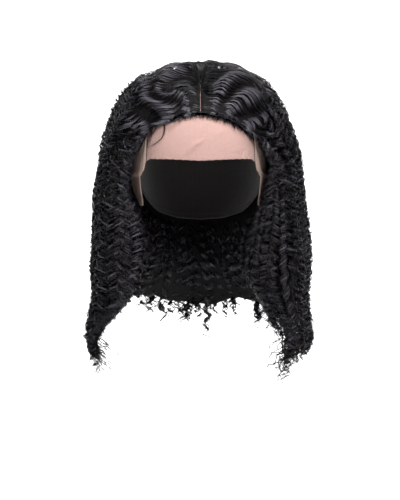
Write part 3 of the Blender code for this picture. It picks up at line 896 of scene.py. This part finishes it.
def band_piece(name, bands, finish):
    """All bands of a piece in one mesh: closed tubes of three sides, wide and low."""
    points, faces, places, tones, bares = [], [], [], [], []
    first = 0
    for number, (line, along, face, width, tone, bare) in enumerate(bands):
        count = len(line)
        side = np.cross(along, face) * width[:, None] / 2
        ring = np.stack([line - side, line + side, line + face * width[:, None] * BAND_LOW], 1)
        points.append(ring.reshape(-1, 3))
        across = np.tile(BAND_SIDES, count) + number
        places.append(np.stack([across, np.repeat(along_rows(line), 3)], -1))
        tones.append(np.repeat(tone, 3))
        bares.append(np.repeat(bare, 3))
        corner = first + np.arange(count * 3).reshape(count, 3)
        low, high = corner[:-1], corner[1:]
        for a, b in ((1, 0), (2, 1), (0, 2)):
            faces.append(np.stack([low[:, a], low[:, b], high[:, b], high[:, a]], -1))
        ends = ((corner[0, 0], corner[0, 2], corner[0, 1]), (corner[-1, 0], corner[-1, 1], corner[-1, 2]))
        faces.append(np.array([[*end, -1] for end in ends]))
        first += count * 3
    points, faces, places = np.concatenate(points), np.concatenate(faces), np.concatenate(places)
    corners = faces[faces >= 0]
    sizes = (faces >= 0).sum(1)
    starts = np.concatenate([[0], np.cumsum(sizes)[:-1]])
    mesh = bpy.data.meshes.new(name)
    mesh.vertices.add(len(points))
    mesh.vertices.foreach_set("co", points.astype(np.float32).ravel())
    mesh.loops.add(len(corners))
    mesh.loops.foreach_set("vertex_index", corners.astype(np.int32))
    mesh.polygons.add(len(faces))
    mesh.polygons.foreach_set("loop_start", starts.astype(np.int32))
    mesh.update(calc_edges=True)
    mesh.uv_layers.new(name="strand").data.foreach_set("uv", places[corners].astype(np.float32).ravel())
    for attribute, values in (("tone", tones), ("bare", bares)):
        data = mesh.attributes.new(attribute, "FLOAT", "POINT").data
        data.foreach_set("value", np.concatenate(values).astype(np.float32))
    mesh.materials.append(finish)
    mesh.shade_smooth()
    mesh.set_sharp_from_angle(angle=math.radians(SHARP_ANGLE))
    piece = bpy.data.objects.new(name, mesh)
    bpy.context.scene.collection.objects.link(piece)
    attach(piece, "root")
    return piece


def spaced(row, gap):
    """Azimuths a step apart along one row of the map, by its length there."""
    line = along_rows(skin[row])
    count = int(line[-1] / gap)
    return np.interp(np.linspace(0, line[-1], count), line, azimuths)


def end_row(azimuth):
    return float(np.interp(azimuth, azimuths, hem))


def grow(low, high, layer, first):
    """The ringlets of one layer between two azimuths."""
    made = []
    roots = spaced(LENGTH_ROW, layer.gap)
    for azimuth, scalp in zip(roots, np.gradient(roots)):
        if low <= azimuth < high:
            last = end_row(azimuth) + rng.choice(LAST_ROWS) + rng.uniform(*LAST_SPREAD)
            start = float(np.interp(azimuth, *first))
            made += ringlet(azimuth + rng.uniform(-ROOT_TURN, ROOT_TURN), scalp, start, last, layer)
    return made


for curls_name, low, high, layer, first, nodes in (
    ("curls_left", 0, 102, OUTER, 0.0, ("hair_top_left", "hair_side_left")),
    ("curls_back_left", 102, 180, OUTER, 0.0, ("hair_back", "hair_crown")),
    ("curls_back_right", 180, 258, OUTER, 0.0, ()),
    ("curls_right", 258, 360, OUTER, 0.0, ("hair_top_right", "hair_side_right")),
    ("under_curls_left", 0, 180, MIDDLE, MIDDLE_FROM, ()),
    ("under_curls_right", 180, 360, MIDDLE, MIDDLE_FROM, ()),
):
    curls = band_piece(curls_name, grow(low, high, layer, ((0, 360), (first, first))), hair_black.material)
    if nodes:
        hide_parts(*nodes)

# Lining curls
# The real ones are the shorter ringlets next to the neck, sewn to the cap's lower edge. They close the
# back of the hair when it is looked at from the front, through the opening for the face.
LINING_FROM, LINING_TO = 80, 280
cap_rows = [UPPER_ROWS + 1 + (level_height[0] - height) / HANGING_STEP for height in NAPE_HEIGHT]
cap_around = (*NAPE_AZIMUTH, *(360 - azimuth for azimuth in NAPE_AZIMUTH[-2::-1]))
under_cap = (cap_around, cap_rows + cap_rows[-2::-1])
band_piece("curls_lining", grow(LINING_FROM, LINING_TO, LINING, under_cap), hair_black.material)

# Fine hairs
# The real hairline is softened with single short hairs on the lace and a few curls laid on the
# forehead. Single hairs also stand off the outside of the curls as loops, and hang as wisps at the tips.
HAIR_WIDTH = 0.00075
LAID_WIDTH = 0.0011
LAID_CURLS = (
    ((-0.0420, -0.0430), (-0.0412, -0.0500), (-0.0400, -0.0560), (-0.0408, -0.0640), (-0.0470, -0.0715),
     (-0.0570, -0.0760)),
    ((-0.0426, -0.0430), (-0.0418, -0.0500), (-0.0408, -0.0565), (-0.0420, -0.0650), (-0.0490, -0.0722),
     (-0.0600, -0.0772)),
    ((-0.0500, -0.0430), (-0.0496, -0.0510), (-0.0515, -0.0580), (-0.0560, -0.0630), (-0.0600, -0.0700)),
    ((-0.0540, -0.0440), (-0.0530, -0.0520), (-0.0560, -0.0600), (-0.0610, -0.0690), (-0.0600, -0.0780)),
    ((-0.0570, -0.0450), (-0.0580, -0.0540), (-0.0545, -0.0620), (-0.0580, -0.0720), (-0.0650, -0.0760)),
    ((-0.0600, -0.0480), (-0.0590, -0.0560), (-0.0625, -0.0640), (-0.0600, -0.0740), (-0.0660, -0.0820)),
)
HAIRLINE = (
    (-0.0600, -0.0520), (-0.0420, -0.0450), (-0.0200, -0.0420), (0.0000, -0.0385), (0.0200, -0.0430),
    (0.0340, -0.0490), (0.0480, -0.0570), (0.0590, -0.0660),
)
LAID_MARKS = 26
LAID_LIFT = 0.0008
HAIRLINE_MARKS = 400
HAIRLINE_HAIRS = 420
HAIRLINE_LONG = (0.003, 0.009)
HAIRLINE_ABOVE = 0.002
HAIRLINE_FAN = 12
HAIRLINE_SPREAD = 0.45
HAIRLINE_BEND = 0.35
HAIRLINE_LIFT = 0.0006
SOFTENED_TIMES = 6
FINE_TONE = 0.05
FINE_BARE = -2.0
FINE_TIP = 0.35
FLYAWAYS = 210
FLYAWAY_AZIMUTHS = (60, 300)
FLYAWAY_FROM = (8, 34)
FLYAWAY_ROWS = (2.0, 4.5)
FLYAWAY_ABOVE_TIPS = 2
FLYAWAY_DRIFT = 2
FLYAWAY_MARKS = 34
FLYAWAY_TURN = (7, 16)
FLYAWAY_ENDS = (0.3, math.pi - 0.4)
FLYAWAY_RADIUS = (0.005, 0.011)
FLYAWAY_WIDTH = 0.0009
WISPS = 200
WISP_SPANS = ((22, 90), (270, 338))
WISP_LAST = (-1.5, 1.0)
WISP_ROWS = (5, 8)
WISP_DRIFT = 3
WISP_DEPTH = (-0.003, 0.004)
WISP_MARKS = 40
WISP_TURN = (16, 26)
WISP_RADIUS = (0.0018, 0.0042)
WISP_WIDTH = 0.0019
WISP_CLOSE = 0.5
WISP_INWARD = 0.30


def on_forehead(places, lift):
    """Points and outward ways on the lace, for places seen from the front."""
    side, height = np.array(places, float).T
    up = np.abs(height - EAR_LEVEL) / HEAD_ABOVE
    rest = 1 - (np.abs(side) / HEAD_HALF_WIDTH) ** HEAD_POWER - up**HEAD_POWER
    forward = -HEAD_HALF_LENGTH * np.maximum(rest, 0.01) ** (1 / HEAD_POWER)
    ways = unit(np.stack([side, forward, height - EAR_LEVEL], -1))
    return on_cloth(ways, WALL + lift), ways


def smooth_route(route, count):
    """A soft line through a few places."""
    route = np.array(route)
    at = np.linspace(0, len(route) - 1, count)
    line = np.stack([np.interp(at, range(len(route)), route[:, k]) for k in (0, 1)], -1)
    for _ in range(SOFTENED_TIMES):
        line[1:-1] = (line[:-2] + 2 * line[1:-1] + line[2:]) / 4
    return line


def fine_hair(points, outward, width):
    narrow = width * np.linspace(1, FINE_TIP, len(points))
    tone, bare = np.full(len(points), FINE_TONE), np.full(len(points), FINE_BARE)
    return band(points, outward, narrow, tone, bare)


laid = [
    fine_hair(*on_forehead(smooth_route(route, LAID_MARKS), LAID_LIFT), LAID_WIDTH)
    for route in LAID_CURLS
]
edge = smooth_route(HAIRLINE, HAIRLINE_MARKS)
for _ in range(HAIRLINE_HAIRS):
    at = rng.integers(0, HAIRLINE_MARKS)
    root = edge[at] + (0, HAIRLINE_ABOVE)
    way = np.array([edge[at, 0] * HAIRLINE_FAN + rng.normal(0, HAIRLINE_SPREAD), -1.0])
    bend = np.array([-way[1], way[0]]) * rng.normal(0, HAIRLINE_BEND)
    step = np.linspace(0, 1, 5)[:, None] * rng.uniform(*HAIRLINE_LONG)
    route = root + way * step + bend * step**2 / HAIRLINE_LONG[1]
    laid.append(fine_hair(*on_forehead(route, HAIRLINE_LIFT), HAIR_WIDTH))
band_piece("hairline_hairs", laid, hair_black.material)


def looped(centre, out, turn, radius, fade, width):
    """A fine hair that winds round a line, as far off it as its radius and the fade along it say."""
    side = np.cross(unit(np.gradient(centre, axis=0)), out)
    phase = rng.uniform(0, ANY_START) + rng.choice((-1, 1)) * np.linspace(0, rng.uniform(*turn), len(centre))
    reach = rng.uniform(*radius) * fade
    line = centre + (np.cos(phase)[:, None] * out + np.sin(phase)[:, None] * side) * reach[:, None]
    return fine_hair(line, out, width)


flying = []
part = np.linspace(0, 1, FLYAWAY_MARKS)
fade = np.sin(np.linspace(*FLYAWAY_ENDS, FLYAWAY_MARKS))
for _ in range(FLYAWAYS):
    azimuth, start = rng.uniform(*FLYAWAY_AZIMUTHS), rng.uniform(*FLYAWAY_FROM)
    start = min(start, end_row(azimuth) - FLYAWAY_ABOVE_TIPS)
    row = np.linspace(start, start + rng.uniform(*FLYAWAY_ROWS), FLYAWAY_MARKS)
    centre, out, _ = in_hair(azimuth + rng.uniform(-FLYAWAY_DRIFT, FLYAWAY_DRIFT) * part, row, 0.0)
    flying.append(looped(centre, out, FLYAWAY_TURN, FLYAWAY_RADIUS, fade, FLYAWAY_WIDTH))
part = np.linspace(0, 1, WISP_MARKS)
fade = np.linspace(WISP_CLOSE, 1, WISP_MARKS)
for _ in range(WISPS):
    azimuth = rng.uniform(*WISP_SPANS[rng.integers(0, 2)])
    last = end_row(azimuth) + rng.uniform(*WISP_LAST)
    row = np.linspace(last - rng.uniform(*WISP_ROWS), last, WISP_MARKS)
    centre, out, _ = in_hair(azimuth + rng.normal(0, WISP_DRIFT) * part, row, rng.uniform(*WISP_DEPTH))
    centre[:, 0] *= 1 - rng.uniform(0, WISP_INWARD) * part**2
    flying.append(looped(centre, out, WISP_TURN, WISP_RADIUS, fade, WISP_WIDTH))
band_piece("flyaway_hairs", flying, hair_black.material)

# Camera, light and stage
# A plain pale sweep under and behind, soft boxes above and to both sides in front, and the camera
# as far off as the photograph's, a little above the middle of the hair.
CAMERA_AT = Vector((-0.0006, -2.0, -0.150))
LOOK_AT = Vector((-0.0006, 0.0, -0.197))
FRAME_TALL = 0.600
FLOOR = -0.62
BEND_FROM = 2.2
BEND_RADIUS = 0.8
SWEEP_FRONT, SWEEP_TOP, SWEEP_SIDE = -6.0, 4.0, 5.0
ROOM_LIGHT = 0.08
camera = bpy.data.objects.new("camera", bpy.data.cameras.new("camera"))
camera.location = CAMERA_AT
camera.rotation_euler = (LOOK_AT - CAMERA_AT).to_track_quat("-Z", "Y").to_euler()
camera.data.lens = camera.data.sensor_width * (LOOK_AT - CAMERA_AT).length / FRAME_TALL
bpy.context.scene.collection.objects.link(camera)
bpy.context.scene.camera = camera


def soft_box(name, place, aim, size, power):
    light = bpy.data.lights.new(name, "AREA")
    light.shape, light.size, light.energy = "SQUARE", size, power
    lamp = bpy.data.objects.new(name, light)
    lamp.location = place
    lamp.rotation_euler = (Vector(aim) - Vector(place)).to_track_quat("-Z", "Y").to_euler()
    lamp.visible_camera = False
    bpy.context.scene.collection.objects.link(lamp)


soft_box("key", place=(0.9, -1.5, 1.1), aim=(0.0, 0.0, -0.1), size=0.45, power=62)
soft_box("fill", place=(-1.2, -1.4, 0.5), aim=(0.0, 0.0, -0.1), size=0.6, power=22)
soft_box("top", place=(0.1, -0.35, 1.5), aim=(0.0, 0.0, -0.05), size=0.35, power=50)
soft_box("backdrop", place=(0.0, 0.7, 1.3), aim=(0.0, 3.0, 0.1), size=1.6, power=120)

profile = [(SWEEP_FRONT, FLOOR), (BEND_FROM, FLOOR)]
for angle in np.linspace(0.1, math.pi / 2, 12):
    height = FLOOR + BEND_RADIUS * (1 - math.cos(angle))
    profile.append((BEND_FROM + BEND_RADIUS * math.sin(angle), height))
profile.append((BEND_FROM + BEND_RADIUS, SWEEP_TOP))
sweep = bpy.data.meshes.new("sweep")
corners = [(x, y, z) for y, z in profile for x in (-SWEEP_SIDE, SWEEP_SIDE)]
sweep.from_pydata(corners, [], [(i, i + 1, i + 3, i + 2) for i in range(0, len(corners) - 2, 2)])
sweep.shade_smooth()
paper = Finish("pale_paper", {"Roughness": 0.9, "Specular IOR Level": 0.1})
grain = paper.node("ShaderNodeTexNoise", {}, {"Scale": 3.0, "Detail": 2.0})
paper.feed(paper.shader, {"Base Color": paper.blend(grain, (0.93, 0.93, 0.93), (0.95, 0.95, 0.95))})
sweep.materials.append(paper.material)
stage = bpy.data.objects.new("sweep", sweep)
bpy.context.scene.collection.objects.link(stage)

world = bpy.data.worlds.new("studio")
world.use_nodes = True
world.node_tree.nodes["Background"].inputs["Color"].default_value = (1.0, 1.0, 1.0, 1.0)
world.node_tree.nodes["Background"].inputs["Strength"].default_value = ROOM_LIGHT
bpy.context.scene.world = world
bpy.context.scene.view_settings.view_transform = "Standard"
